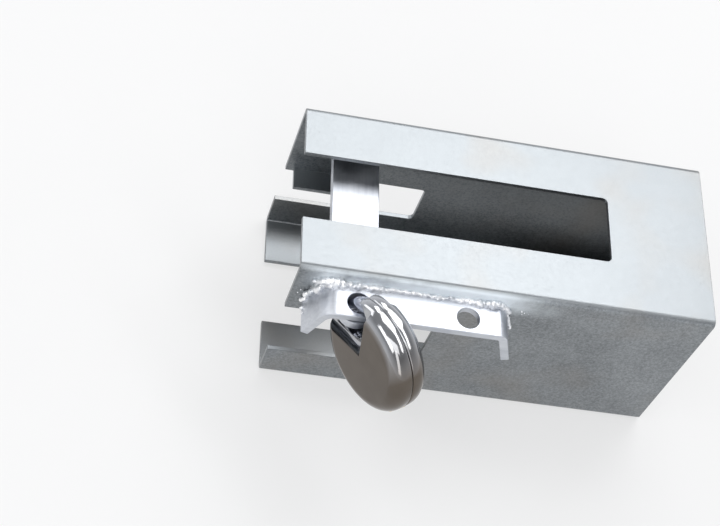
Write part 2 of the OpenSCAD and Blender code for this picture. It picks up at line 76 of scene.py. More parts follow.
# %% Camera
PHOTO_WIDTH, PHOTO_HEIGHT = 720, 526
SENSOR = 36
FOCAL_PIXELS = 1715.4
CAMERA_PLACE = mm(-154.7, -566.3, 923.5)
CAMERA_AIM = mm(48.75, -8.05, 62.5)
CAMERA_ROLL = math.radians(24.86)
CAMERA_NEAR = 10

bpy.ops.object.camera_add(location=CAMERA_PLACE)
camera = bpy.context.object
camera.name = "photo_camera"
camera.data.sensor_width = SENSOR
camera.data.lens = FOCAL_PIXELS / PHOTO_WIDTH * SENSOR
camera.data.clip_start = mm(CAMERA_NEAR)
looking = (CAMERA_AIM - CAMERA_PLACE).to_track_quat("-Z", "Y").to_matrix()
camera.rotation_euler = (looking @ Matrix.Rotation(CAMERA_ROLL, 3, "Z")).to_euler()
bpy.context.scene.camera = camera
print("lens", round(camera.data.lens, 1), "mm for a picture of", PHOTO_WIDTH, "by", PHOTO_HEIGHT)

# %% [markdown]
# A material is a small network of nodes. One function adds a node, sets its options and joins its inputs,
# so that a finish below reads like a list of what happens on the surface. All patterns hang on Object
# coordinates: the pieces sit unturned at the origin, so these are plain metres, and a pattern of one
# millimetre has a scale of 1000.

# %% Shader nodes
# A Mix node has sockets for each kind of value. These are the places of its two colours and of their mix.
MIX_A, MIX_B, MIX_COLOUR = 6, 7, 2


def add(finish, kind, inputs=None, **options):
    """Adds a shader node. Each input takes a value, or the output of another node."""
    new = finish.node_tree.nodes.new("ShaderNode" + kind)
    for name, value in options.items():
        setattr(new, name, value)
    for name, value in (inputs or {}).items():
        if isinstance(value, bpy.types.NodeSocket):
            finish.node_tree.links.new(value, new.inputs[name])
        else:
            new.inputs[name].default_value = value
    return new


def per(size):
    """Scale of a pattern whose marks are this many millimetres apart."""
    return 1000 / size


def new_finish(name):
    """An empty material, and the place on the surface that its patterns start from."""
    finish = bpy.data.materials.new(name)
    finish.use_nodes = True
    finish.node_tree.nodes.clear()
    return finish, add(finish, "TexCoord").outputs["Object"]


def close(finish, shader):
    """Joins the shader to the material's output."""
    add(finish, "OutputMaterial", {"Surface": shader.outputs[0]})
    print("finish", finish.name, "has", len(finish.node_tree.nodes), "nodes")


# %% [markdown]
# Hot-dip galvanised sheet was drawn through molten zinc. The zinc froze in crystals about a centimetre
# wide, which have weathered until they hardly show. What the eye sees is a fine grey speckle, with soft
# patches. A picture of zinc could be laid on, but it would show where it repeats. Here, Voronoi cells
# give the crystals, a wide noise the patches and a fine noise the speckle. The speckle is drawn about a
# millimetre wide, coarser than the real one, so that it still shows.

# %% Galvanised sheet
PATCH_SHARE, CRYSTAL_SHARE, SPECKLE_SHARE = 0.5, 0.05, 1.6

galvanised, place = new_finish("galvanised_sheet")
crystals = add(galvanised, "TexVoronoi", {"Vector": place, "Scale": per(9), "Randomness": 1.0})
patches = add(
    galvanised, "TexNoise",
    {"Vector": place, "Scale": per(34), "Detail": 5.0, "Roughness": 0.6},
)
speckle = add(
    galvanised, "TexNoise",
    {"Vector": place, "Scale": per(1.5), "Detail": 3.0, "Roughness": 0.75},
)
crystal_tone = add(galvanised, "SeparateColor", {"Color": crystals.outputs["Color"]}).outputs["Red"]
tone = add(galvanised, "Math", {0: patches.outputs["Fac"], 1: PATCH_SHARE}, operation="MULTIPLY")
for layer, weight in ((crystal_tone, CRYSTAL_SHARE), (speckle.outputs["Fac"], SPECKLE_SHARE)):
    tone = add(
        galvanised, "Math", {0: layer, 1: weight, 2: tone.outputs[0]},
        operation="MULTIPLY_ADD",
    )
grain = add(galvanised, "MapRange", {"Value": tone.outputs[0], "From Min": 0.75, "From Max": 1.4})
print("grain of the zinc from", len(galvanised.node_tree.nodes), "nodes")

# %% [markdown]
# The faces that look up are painted lighter and more even, as painted light from above that washes out their
# grain. The surface's direction tells where, and there the grain gives way to one lighter shade. Dirty water
# left a faint warm stain here and there, which a wide noise gives.

# %% Painted light on upward faces, and stains
# The lighter, even shade painted on the faces that look up, as painted light from above.
PAINTED_TOP_SHADE = 0.6

facing = add(galvanised, "TexCoord").outputs["Normal"]
upward = add(galvanised, "SeparateXYZ", {0: facing}).outputs["Z"]
painted_top_light = add(
    galvanised, "MapRange",
    {"Value": upward, "From Min": 0.5, "From Max": 0.95, "To Max": 0.85},
)
shade = add(
    galvanised, "Mix",
    {"Factor": painted_top_light.outputs[0], "A": grain.outputs[0], "B": PAINTED_TOP_SHADE},
)
zinc = add(
    galvanised, "Mix",
    {"Factor": shade.outputs[0], MIX_A: colour("#6e7275"), MIX_B: colour("#9b9fa2")},
    data_type="RGBA",
)
stains = add(galvanised, "TexNoise", {"Vector": place, "Scale": per(60), "Detail": 2.0})
stained = add(
    galvanised, "MapRange",
    {"Value": stains.outputs["Fac"], "From Min": 0.5, "From Max": 0.75, "To Max": 0.5},
)
warm_zinc = add(
    galvanised, "Mix",
    {"Factor": stained.outputs[0], MIX_A: zinc.outputs[MIX_COLOUR], MIX_B: colour("#8d8780")},
    data_type="RGBA",
)
print("washed and stained zinc from", len(galvanised.node_tree.nodes), "nodes")

# %% [markdown]
# Above the bracket, a strip of the wall is painted pale and matt: a painted highlight, standing in for the
# bright light that the wall mirrors just below the fold. To the eye it is a lighter band that fades out at
# its ends. It could be a thin piece of its own, but it has no thickness, so it is part of the sheet's
# finish. Ramps along X, Y and Z, multiplied and frayed by the patches, mark it, and there the sheet loses
# most of its metallic shine.

# %% Painted highlight strip
# For each ramp: its axis, where there is no painted highlight, and where it is full, in millimetres.
PAINTED_SHEEN_RAMPS = (("X", 1, 20), ("X", 160, 118), ("Y", -54, -56), ("Z", 104, 114))

spot = add(galvanised, "SeparateXYZ", {0: place}).outputs
fray = add(galvanised, "MapRange", {"Value": patches.outputs["Fac"], "From Min": 0.2, "From Max": 0.5})
painted_sheen = fray.outputs[0]
for axis, none, full in PAINTED_SHEEN_RAMPS:
    ramp = add(
        galvanised, "MapRange",
        {"Value": spot[axis], "From Min": mm(none), "From Max": mm(full)},
    )
    painted_sheen = add(galvanised, "Math", {0: painted_sheen, 1: ramp.outputs[0]}, operation="MULTIPLY").outputs[0]
# The pale colour mixed in here is the painted highlight on the strip above the bracket.
painted = add(
    galvanised, "Mix",
    {"Factor": painted_sheen, MIX_A: warm_zinc.outputs[MIX_COLOUR], MIX_B: colour("#e0e8ee")},
    data_type="RGBA",
)
metallic_outside_sheen = add(galvanised, "MapRange", {"Value": painted_sheen, "To Min": 1.0, "To Max": 0.15})
dull = add(
    galvanised, "MapRange",
    {"Value": speckle.outputs["Fac"], "From Min": 0.3, "From Max": 0.7, "To Min": 0.32, "To Max": 0.43},
)
relief = add(
    galvanised, "Bump",
    {"Strength": 0.2, "Distance": mm(0.06), "Height": speckle.outputs["Fac"]},
)
close(galvanised, add(galvanised, "BsdfPrincipled", {
    "Base Color": painted.outputs[MIX_COLOUR], "Metallic": metallic_outside_sheen.outputs[0], "Roughness": dull.outputs[0],
    "Normal": relief.outputs[0],
}))

# %% [markdown]
# The bracket and the tongue are bright-drawn flat bar with a thin zinc plating: brighter than the sheet,
# with fine lines along the bar from drawing it through the die. A noise that is stretched along the bar
# gives these lines, drawn coarser than the real ones so that they show, and a wide one makes the plating
# a little cloudy.

# %% Bright flat bar
STRETCH = 0.06


def drawn_bar(name, squeeze):
    """Plated flat bar, with its drawing lines along the axis whose squeeze is small."""
    finish, place = new_finish(name)
    lines = add(finish, "Mapping", {"Vector": place, "Scale": squeeze})
    streaks = add(finish, "TexNoise", {"Vector": lines.outputs[0], "Scale": per(1.6), "Detail": 3.0})
    clouds = add(finish, "TexNoise", {"Vector": place, "Scale": per(14), "Detail": 4.0})
    tone = add(
        finish, "Math", {0: streaks.outputs["Fac"], 1: 0.5, 2: clouds.outputs["Fac"]},
        operation="MULTIPLY_ADD",
    )
    shade = add(finish, "MapRange", {"Value": tone.outputs[0], "From Min": 0.5, "From Max": 1.0})
    plating = add(
        finish, "Mix",
        {"Factor": shade.outputs[0], MIX_A: colour("#b2b6be"), MIX_B: colour("#d2d5da")},
        data_type="RGBA",
    )
    dull = add(
        finish, "MapRange",
        {"Value": clouds.outputs["Fac"], "From Min": 0.3, "From Max": 0.7, "To Min": 0.34, "To Max": 0.48},
    )
    relief = add(finish, "Bump", {"Strength": 0.25, "Distance": mm(0.03), "Height": streaks.outputs["Fac"]})
    close(finish, add(finish, "BsdfPrincipled", {
        "Base Color": plating.outputs[MIX_COLOUR], "Metallic": 1.0, "Roughness": dull.outputs[0],
        "Normal": relief.outputs[0],
    }))
    return finish


bracket_finish = drawn_bar("bright_bar_lengthwise", (STRETCH, 1, 1))
tongue_finish = drawn_bar("bright_bar_crosswise", (1, STRETCH, 1))

# %% [markdown]
# Weld metal froze in drops. It is silvery where it is smooth and grey in the ripples between the drops. The
# drops themselves are modelled, so the material only adds the small ripples and a little soot. The bracket
# was welded on last, so its bead is bare, and it is also painted near white, a painted highlight of strong
# light on the drops. The bead at the nose went into the zinc with the sheet, and is greyer.

# %% Weld metal
def bead_metal(name, dark, light):
    """Frozen weld drops, with fine ripples and sooty places."""
    finish, place = new_finish(name)
    ripples = add(finish, "TexNoise", {"Vector": place, "Scale": per(1.4), "Detail": 3.0})
    soot = add(finish, "TexNoise", {"Vector": place, "Scale": per(7), "Detail": 4.0})
    shade = add(finish, "MapRange", {"Value": soot.outputs["Fac"], "From Min": 0.35, "From Max": 0.62})
    tone = add(
        finish, "Mix",
        {"Factor": shade.outputs[0], MIX_A: colour(dark), MIX_B: colour(light)},
        data_type="RGBA",
    )
    dull = add(
        finish, "MapRange",
        {"Value": ripples.outputs["Fac"], "From Min": 0.3, "From Max": 0.7, "To Min": 0.34, "To Max": 0.5},
    )
    relief = add(finish, "Bump", {"Strength": 0.3, "Distance": mm(0.15), "Height": ripples.outputs["Fac"]})
    close(finish, add(finish, "BsdfPrincipled", {
        "Base Color": tone.outputs[MIX_COLOUR], "Metallic": 1.0, "Roughness": dull.outputs[0],
        "Normal": relief.outputs[0],
    }))
    return finish


# The near-white tones of the bracket's bead are partly a painted highlight.
weld_metal = bead_metal("weld_metal", "#d2d5d9", "#fafafb")
dipped_weld = bead_metal("zinc_dipped_weld", "#8e9295", "#bcc0c3")

# %% [markdown]
# The padlock hangs in its eye, turned away from the wall and rolled. Its flat faces and the end away from
# its mouth are painted dark and brownish, a painted reflection of dark ground, while the rim near the mouth
# stays bright. That could be painted on by hand, but two ramps are easier to change. A Mapping node turns
# the place on the surface into the padlock's own directions, X towards its mouth and Z across its faces, and
# the ramps run along these.

# %% Painted dark reflection
PAD_CENTRE = mm(50.6457, -89.0719, 98.95)
PAD_TURN, PAD_TIP, PAD_ROLL = math.radians(34), math.radians(-90), math.radians(62)
PAD_PLACE = (
    Matrix.Translation(PAD_CENTRE)
    @ Matrix.Rotation(PAD_TURN, 4, "Z")
    @ Matrix.Rotation(PAD_TIP, 4, "Y")
    @ Matrix.Rotation(PAD_ROLL, 4, "Z")
)
# Where the painted dark reflection starts and where it is full, in millimetres: across the faces, and to the
# far end.
FACE_PAINTED_DARK, END_PAINTED_DARK = (9.8, 12), (8, -18)


def paint_dark_reflection(finish, place, haze, tint, tones):
    """Mixes in a painted dark reflection on the padlock's flat faces and on the end away from its mouth."""
    own = add(
        finish, "Mapping",
        {"Vector": place, "Location": PAD_PLACE.translation, "Rotation": PAD_PLACE.to_euler()},
        vector_type="TEXTURE",
    )
    spot = add(finish, "SeparateXYZ", {0: own.outputs[0]}).outputs
    depth = add(finish, "Math", {0: spot["Z"]}, operation="ABSOLUTE")
    on_face = add(
        finish, "MapRange",
        {"Value": depth.outputs[0], "From Min": mm(FACE_PAINTED_DARK[0]), "From Max": mm(FACE_PAINTED_DARK[1])},
    )
    far_end = add(
        finish, "MapRange",
        {"Value": spot["X"], "From Min": mm(END_PAINTED_DARK[0]), "From Max": mm(END_PAINTED_DARK[1])},
    )
    # Share of the painted dark reflection: on the faces or at the far end.
    where = add(finish, "Math", {0: on_face.outputs[0], 1: far_end.outputs[0]}, operation="MAXIMUM")
    painted_dark_tint = add(
        finish, "Mix",
        {"Factor": haze.outputs["Fac"], MIX_A: colour(tones[0]), MIX_B: colour(tones[1])},
        data_type="RGBA",
    )
    return add(
        finish, "Mix",
        {"Factor": where.outputs[0], MIX_A: tint.outputs[MIX_COLOUR], MIX_B: painted_dark_tint.outputs[MIX_COLOUR]},
        data_type="RGBA",
    )


print("padlock centre", PAD_CENTRE)

# %% [markdown]
# The padlock is deep-drawn stainless steel, polished on a wheel until it mirrors what is round it. The
# plated rod of the shackle is painted brighter and bluer than the shell, partly a painted reflection of a
# bright sky. Polishing leaves a faint haze and hair-fine scratches, which show as slightly wider highlights
# here and there. A perfect mirror would look too new, so a wide noise gives the haze and a fine one the
# scratches, drawn coarser than the real ones so that they show.

# %% Polished stainless steel
def polished(name, tones, painted_dark_tones=None):
    """Wheel-polished metal, with a faint haze and fine scratches. The padlock also gets a painted dark
    reflection.
    """
    finish, place = new_finish(name)
    haze = add(finish, "TexNoise", {"Vector": place, "Scale": per(11), "Detail": 5.0})
    hairs = add(finish, "TexNoise", {"Vector": place, "Scale": per(0.9), "Detail": 2.0})
    tint = add(
        finish, "Mix",
        {"Factor": haze.outputs["Fac"], MIX_A: colour(tones[0]), MIX_B: colour(tones[1])},
        data_type="RGBA",
    )
    if painted_dark_tones:
        tint = paint_dark_reflection(finish, place, haze, tint, painted_dark_tones)
    dull = add(
        finish, "MapRange",
        {"Value": haze.outputs["Fac"], "From Min": 0.35, "From Max": 0.7, "To Min": 0.07, "To Max": 0.14},
    )
    relief = add(finish, "Bump", {"Strength": 0.06, "Distance": mm(0.02), "Height": hairs.outputs["Fac"]})
    close(finish, add(finish, "BsdfPrincipled", {
        "Base Color": tint.outputs[MIX_COLOUR], "Metallic": 1.0, "Roughness": dull.outputs[0],
        "Normal": relief.outputs[0],
    }))
    return finish


# The second pair of tones is the painted dark reflection on the padlock.
polished_stainless = polished("polished_stainless", ("#a3a4a7", "#b9babd"), ("#5a534c", "#6b645d"))
# The rod's lighter, bluer tones are partly a painted reflection of a bright sky.
rod_sky_tint_finish = polished("nickel_rod_painted_sky", ("#b9bcc8", "#d3d6df"))

# %% [markdown]
# The works inside the padlock are turned and pressed: plain steel and machined brass. They are mostly
# hidden, and show when the shackle is open, so two noises are enough: a fine one for the tool marks,
# drawn coarser than the real ones so that they show, and a wide one for a slightly uneven tone.

# %% Turned steel and machined brass
def turned_metal(name, dark, light, smooth, rough):
    """A machined metal with fine tool marks and an uneven tone."""
    finish, place = new_finish(name)
    marks = add(finish, "TexNoise", {"Vector": place, "Scale": per(0.8), "Detail": 2.0})
    clouds = add(finish, "TexNoise", {"Vector": place, "Scale": per(6), "Detail": 3.0})
    tone = add(
        finish, "Mix",
        {"Factor": clouds.outputs["Fac"], MIX_A: colour(dark), MIX_B: colour(light)},
        data_type="RGBA",
    )
    dull = add(
        finish, "MapRange",
        {"Value": clouds.outputs["Fac"], "From Min": 0.3, "From Max": 0.7,
         "To Min": smooth, "To Max": rough},
    )
    relief = add(finish, "Bump", {"Strength": 0.2, "Distance": mm(0.03), "Height": marks.outputs["Fac"]})
    close(finish, add(finish, "BsdfPrincipled", {
        "Base Color": tone.outputs[MIX_COLOUR], "Metallic": 1.0, "Roughness": dull.outputs[0],
        "Normal": relief.outputs[0],
    }))
    return finish


turned_steel = turned_metal("turned_steel", "#8f9296", "#b9bcc0", smooth=0.28, rough=0.4)
machined_brass = turned_metal("machined_brass", "#a98a45", "#cdb06a", smooth=0.24, rough=0.36)

# %% [markdown]
# The record of the lock names a material slot for each solid. The solids take their finishes by that
# name. Those inside the padlock keep their own shape and stay in the model. The others are replaced
# further below.

# %% Finishes on the solids
FINISHES = {
    "galvanised_steel": galvanised,
    "bright_bar": bracket_finish,
    "weld_metal": weld_metal,
    "polished_stainless": polished_stainless,
    "plain_steel": turned_steel,
    "brass": machined_brass,
}
for part in frame["record"]["subparts"]:
    for material_slot in frame["nodes"][part["node"]].material_slots:
        material_slot.material = FINISHES[part["material_slot"]]

# %% [markdown]
# The pieces are modelled as by hand: a primitive at its size and place, then edit mode, then modifiers.
# These helpers do what the mouse would do. `pick` selects faces or edges by where they are and which way
# they point, because their numbers change with every step.

# %% Selecting
# A direction runs along an axis when its share of that axis is above this.
ALONG = 0.9


def put_down():
    """Leaves edit mode with nothing selected, ready for a new primitive."""
    if bpy.context.mode != "OBJECT":
        bpy.ops.object.mode_set(mode="OBJECT")
    bpy.ops.object.select_all(action="DESELECT")


def only(piece):
    """Makes this piece the only one selected."""
    put_down()
    piece.select_set(True)
    bpy.context.view_layer.objects.active = piece


def edit(piece):
    """Opens one piece in edit mode."""
    only(piece)
    bpy.ops.object.mode_set(mode="EDIT")


def pick(kind, test):
    """In edit mode, selects each face or edge whose middle, in millimetres, and direction pass the test."""
    bpy.ops.mesh.select_mode(type=kind)
    bpy.ops.mesh.select_all(action="DESELECT")
    mesh = bmesh.from_edit_mesh(bpy.context.edit_object.data)
    for part in mesh.faces if kind == "FACE" else mesh.edges:
        ends = [corner.co * 1000 for corner in part.verts]
        middle = sum(ends, Vector()) / len(ends)
        direction = part.normal if kind == "FACE" else (ends[1] - ends[0]).normalized()
        part.select_set(bool(test(middle, direction)))
    mesh.select_flush_mode()
    bmesh.update_edit_mesh(bpy.context.edit_object.data)


# %% [markdown]
# A modifier is applied as soon as it has its settings, so that the next step works on real faces. The
# place and size of a primitive are moved into its mesh, so that the finished piece sits at the origin,
# unturned.

# %% Primitives and modifiers
def modify(piece, kind, **settings):
    """Adds a modifier with its settings and applies it at once."""
    only(piece)
    modifier = piece.modifiers.new(kind.lower(), kind)
    for name, value in settings.items():
        setattr(modifier, name, value)
    bpy.ops.object.modifier_apply(modifier=modifier.name)


def named(name):
    """Names the primitive that was just added, and moves its place into its mesh."""
    piece = bpy.context.object
    piece.name = piece.data.name = name
    bpy.ops.object.transform_apply(location=True, rotation=True, scale=True)
    return piece


def block(name, low, high):
    """A box between two corners, in millimetres."""
    low, high = Vector(low), Vector(high)
    put_down()
    bpy.ops.mesh.primitive_cube_add(size=1, location=mm(*(low + high) / 2), scale=mm(*(high - low)))
    return named(name)


# %% [markdown]
# The openings of the real lock are punched or drilled. Here, a tool of the opening's shape is taken out
# of the piece by a Boolean modifier. That modifier leaves the points of the mesh in a new order each run,
# and what comes after it, such as merging points, depends on their order. So they are put in a fixed
# order after each cut, by how far they lie along a slanted direction.

# %% Cutting tools
# With this direction, the padlock's halves stay closed when their points are merged.
SLANT = Vector((0.618, 0.414, -1))
PUNCH_STEPS = 6


def settle(piece):
    """Puts the points, edges and faces of a piece in a fixed order."""
    mesh = bmesh.new()
    mesh.from_mesh(piece.data)
    mesh.verts.sort(key=lambda corner: corner.co.dot(SLANT))
    mesh.edges.sort(key=lambda edge: (edge.verts[0].co + edge.verts[1].co).dot(SLANT))
    mesh.faces.sort(key=lambda face: face.calc_center_median().dot(SLANT))
    mesh.to_mesh(piece.data)
    mesh.free()


def cut(piece, tool):
    """Takes the tool's shape out of the piece, and throws the tool away."""
    modify(piece, "BOOLEAN", object=tool, operation="DIFFERENCE", solver="EXACT")
    bpy.data.objects.remove(tool)
    settle(piece)


def punch(piece, low, high, axis, radius):
    """Punches a hole along one axis (0, 1 or 2), with corners of that radius."""
    tool = block("punch", low, high)
    edit(tool)
    pick("EDGE", lambda middle, along: abs(along[axis]) > ALONG)
    bpy.ops.mesh.bevel(offset=mm(radius), segments=PUNCH_STEPS, affect="EDGES")
    cut(piece, tool)


# %% [markdown]
# The box is one sheet of 3 mm steel, cut flat by a press and folded round. It could be put together from
# plates, but then each fold would be a joint. Modelled as it was made, it starts as a block without ends.
# Rounding its four long edges gives the folds, Solidify gives the sheet its thickness, and punches with
# round corners take out the slot in the top, the gap between the lips and the holes in the walls.

# %% Folded box
BOX_L, BOX_W, BOX_H = 250, 113, 125
HALF_W = BOX_W / 2
SHEET, FOLD, CORNER = 3, 4, 3
SLOT_HALF = 22.5
TOP_SLOT_END = 187
NOTCH_END, NOTCH_LOW, NEAR_NOTCH_TOP, FAR_NOTCH_TOP = 91, 28, 79.5, 61.5
SIDE_SLOT = (20.2, 113.8)
SIDE_SLOT_LOW, SIDE_SLOT_TOP, SIDE_SLOT_CORNER = 102, 109, 0.6
# Punches start this far behind the rear mouth, and reach this far to each side of the sheet's outside.
BEHIND, PAST = 10, 5

box = block("folded_box", (0, -HALF_W, 0), (BOX_L, HALF_W, BOX_H))
edit(box)
pick("FACE", lambda middle, normal: abs(normal.x) > ALONG)
bpy.ops.mesh.delete(type="ONLY_FACE")
pick("EDGE", lambda middle, along: abs(along.x) > ALONG)
bpy.ops.mesh.bevel(offset=mm(FOLD), segments=10, affect="EDGES")
modify(box, "SOLIDIFY", thickness=mm(SHEET), offset=-1, use_even_offset=True)

punch(box, (-BEHIND, -SLOT_HALF, -PAST), (BOX_L + BEHIND, SLOT_HALF, PAST), 2, CORNER)
punch(box, (-BEHIND, -SLOT_HALF, BOX_H - PAST), (TOP_SLOT_END, SLOT_HALF, BOX_H + PAST), 2, CORNER)
for side, notch_top in ((-HALF_W, NEAR_NOTCH_TOP), (HALF_W, FAR_NOTCH_TOP)):
    punch(box, (-BEHIND, side - PAST, NOTCH_LOW), (NOTCH_END, side + PAST, notch_top), 1, CORNER)
for side in (-HALF_W, HALF_W):
    punch(
        box, (SIDE_SLOT[0], side - PAST, SIDE_SLOT_LOW), (SIDE_SLOT[1], side + PAST, SIDE_SLOT_TOP),
        1, SIDE_SLOT_CORNER,
    )
print("box punched,", len(box.data.polygons), "faces")

# %% [markdown]
# At the far wall, the strip that the notch left over was folded in as a ledge, which stiffens the wall. A
# strip set in by itself would show a joint, so the ledge is drawn out of the wall. Three cuts by bisect
# mark its two ends and its top, the inner face between them is extruded into the box, and a bevel rounds
# the fold.

# %% Folded ledge
LEDGE_FROM, LEDGE_TO = 5, 45
LEDGE_LOW, LEDGE_TOP = FAR_NOTCH_TOP, 64.5
LEDGE_DEPTH, LEDGE_FOLD = 14, 2.9
# Two places closer than this, in millimetres, count as one.
NEAR = 0.1


def on_band(middle, normal):
    """Tells whether a face lies on the far wall above the notch, below the tongue's slot."""
    above = FAR_NOTCH_TOP - 1.5 < middle.z < SIDE_SLOT_LOW
    return above and middle.y > HALF_W - SHEET - 1 and middle.x < NOTCH_END + 4


edit(box)
for centre, across in (
    (mm(LEDGE_FROM, 0, 0), (1, 0, 0)), (mm(LEDGE_TO, 0, 0), (1, 0, 0)), (mm(0, 0, LEDGE_TOP), (0, 0, 1)),
):
    pick("FACE", on_band)
    bpy.ops.mesh.bisect(plane_co=centre, plane_no=across)
pick("FACE", lambda middle, normal: normal.y < -ALONG and abs(middle.y - HALF_W + SHEET) < NEAR
     and LEDGE_FROM < middle.x < LEDGE_TO and LEDGE_LOW < middle.z < LEDGE_TOP)
bpy.ops.mesh.extrude_region_move(TRANSFORM_OT_translate={"value": mm(0, -LEDGE_DEPTH, 0)})
pick("EDGE", lambda middle, along: abs(along.x) > ALONG and middle.y > HALF_W - NEAR
     and LEDGE_FROM < middle.x < LEDGE_TO and abs(middle.z - LEDGE_LOW) < NEAR)
bpy.ops.mesh.bevel(offset=mm(LEDGE_FOLD), segments=6, affect="EDGES")
put_down()
print("ledge folded,", len(box.data.polygons), "faces")

# %% [markdown]
# No edge of a real piece is perfectly sharp. A small bevel along all sharp edges catches the light as a
# filed or worn edge does. Weighted normals then keep the large flats flat, so that only the edges shade
# round. A finished piece gets its material, rides on a body of the frame and stands for one of its
# solids.

# %% Finishing a piece
def break_edges(piece, width, steps=2, angle=30):
    """Rounds all sharp edges a little, as a file does, and smooths the shading."""
    modify(
        piece, "BEVEL", width=mm(width), segments=steps, limit_method="ANGLE",
        angle_limit=math.radians(angle), use_clamp_overlap=False, harden_normals=False,
        miter_outer="MITER_ARC",
    )
    only(piece)
    bpy.ops.object.shade_smooth_by_angle(angle=math.radians(angle))
    modify(piece, "WEIGHTED_NORMAL", mode="FACE_AREA", weight=100, keep_sharp=True)


def seat(piece, body, finish, node):
    """Gives a finished piece its material, its body and the solid that it stands for."""
    only(piece)
    piece.data.materials.clear()
    piece.data.materials.append(finish)
    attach(piece, body)
    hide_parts(node)
    print(piece.name, "has", len(piece.data.polygons), "faces")


break_edges(box, 0.4)
seat(box, "box", galvanised, "box_shell")

# %% [markdown]
# The bracket is flat bar bent down at both ends. Three blocks could be joined, but bent bar keeps its
# thickness through the bends, so it is modelled like a strip of paper: a plane for the top, its two end
# edges extruded outwards and down as legs, the two bend lines rounded by a bevel, then Solidify for the
# bar's thickness. The two eyes are drilled, and all edges are broken as by a file.

# %% Bracket
TOP, BAR, OUT = 114, 5, -77.5
FEET, FOOT_Z = (8, 133), 89
SPLAY = math.radians(20)
LEAN = (TOP - FOOT_Z) * math.tan(SPLAY)
CREASES = (FEET[0] + LEAN, FEET[1] - LEAN)
BENDS = (11, 6.5)
EYES = ((36.5, -68.1), (101, -68.1))
EYE_R = 6.646
DRILL_LOW, DRILL_TOP = TOP - 12, TOP + 6


def bend_run(radius):
    """Distance from a bend line to where a bend of that outside radius starts."""
    return radius * math.tan((math.pi / 2 - SPLAY) / 2)


def drill(piece, centre, radius, low, high):
    """Drills an upright round hole."""
    put_down()
    bpy.ops.mesh.primitive_cylinder_add(
        vertices=72, radius=mm(radius), depth=mm(high - low), location=mm(*centre, (low + high) / 2),
    )
    cut(piece, named("drill"))


put_down()
bpy.ops.mesh.primitive_plane_add(size=1, location=mm(sum(CREASES) / 2, (OUT - HALF_W) / 2, TOP))
bpy.ops.transform.resize(value=(mm(CREASES[1] - CREASES[0]), mm(-HALF_W - OUT), 1))
bracket = named("lock_bracket_bar")
edit(bracket)
for crease, foot in zip(CREASES, FEET):
    pick("EDGE", lambda middle, along: abs(along.y) > ALONG and abs(middle.x - crease) < NEAR)
    bpy.ops.mesh.extrude_region_move(
        TRANSFORM_OT_translate={"value": mm(foot - crease, 0, FOOT_Z - TOP)},
    )
for crease, bend in zip(CREASES, BENDS):
    pick("EDGE", lambda middle, along: abs(along.y) > ALONG and abs(middle.x - crease) < NEAR)
    bpy.ops.mesh.bevel(offset=mm(bend_run(bend)), segments=12, affect="EDGES")
bpy.ops.mesh.select_all(action="SELECT")
bpy.ops.mesh.normals_make_consistent(inside=False)
modify(bracket, "SOLIDIFY", thickness=mm(BAR), offset=-1, use_even_offset=True)
for eye in EYES:
    drill(bracket, eye, EYE_R, DRILL_LOW, DRILL_TOP)
break_edges(bracket, 0.6, steps=3)
seat(bracket, "box", bracket_finish, "lock_bracket")

# %% [markdown]
# The bracket was welded on by hand. The bead sits in the corner between the wall and the bar: metal
# heaped up over the left bend, a thin run in the middle, lumps again at the right bend, small drops down
# the legs and a little spatter on the wall. A rough tube would look too even. So one drop is modelled,
# copied along the seam in changing sizes, and the copies are fused by a voxel remesh, as the metal was.
# The random numbers have a fixed seed, so every run lays the same bead.

# %% Weld drops
chance = random.Random(11)


def along_path(path, step):
    """Points along a path of straight runs, about one step apart, with the share of the whole length."""
    runs = [(Vector(a), Vector(b)) for a, b in zip(path, path[1:])]
    whole = sum((b - a).length for a, b in runs)
    done = 0
    for a, b in runs:
        count = max(1, round((b - a).length / step))
        for i in range(count):
            yield a.lerp(b, i / count), (done + (b - a).length * i / count) / whole
        done += (b - a).length


def lay_bead(name, path, sizes, step, spread, lumps=(), voxel=0.4):
    """Lays drops along a path, their radius taken from sizes by the share of the length, and fuses them."""
    put_down()
    bpy.ops.mesh.primitive_uv_sphere_add(segments=18, ring_count=12, radius=mm(1))
    drop = named("drop")
    spots = []
    for spot, share in along_path(path, step):
        radius = next(size for end, size in sizes if share <= end) * chance.uniform(0.75, 1.25)
        spots.append((spot + Vector([chance.uniform(-spread, spread) for axis in range(3)]), radius))
    for spot, radius in spots + [(Vector(spot), radius) for spot, radius in lumps]:
        copy = drop.copy()
        copy.data = drop.data.copy()
        bpy.context.collection.objects.link(copy)
        copy.location = mm(*spot)
        copy.scale = [radius * chance.uniform(0.8, 1.2) for axis in range(3)]
        copy.rotation_euler = [chance.uniform(0, math.pi) for axis in range(3)]
        copy.select_set(True)
    bpy.context.view_layer.objects.active = drop
    drop.location = mm(*spots[0][0])
    bpy.ops.object.join()
    bead = named(name)
    modify(bead, "REMESH", mode="VOXEL", voxel_size=mm(voxel))
    modify(bead, "SMOOTH", factor=0.5, iterations=4)
    bpy.ops.object.shade_smooth()
    print(name, "fused from", len(spots) + len(lumps), "drops")
    return bead


# %% [markdown]
# The bracket's bead runs up the left leg, along the top and down the right leg. The sizes are pairs: up
# to which share of the length, and the radius of a drop there. Lumps and spatter are set one by one, as a
# place and a radius. The spatter lies on the wall, a little away from the bead.

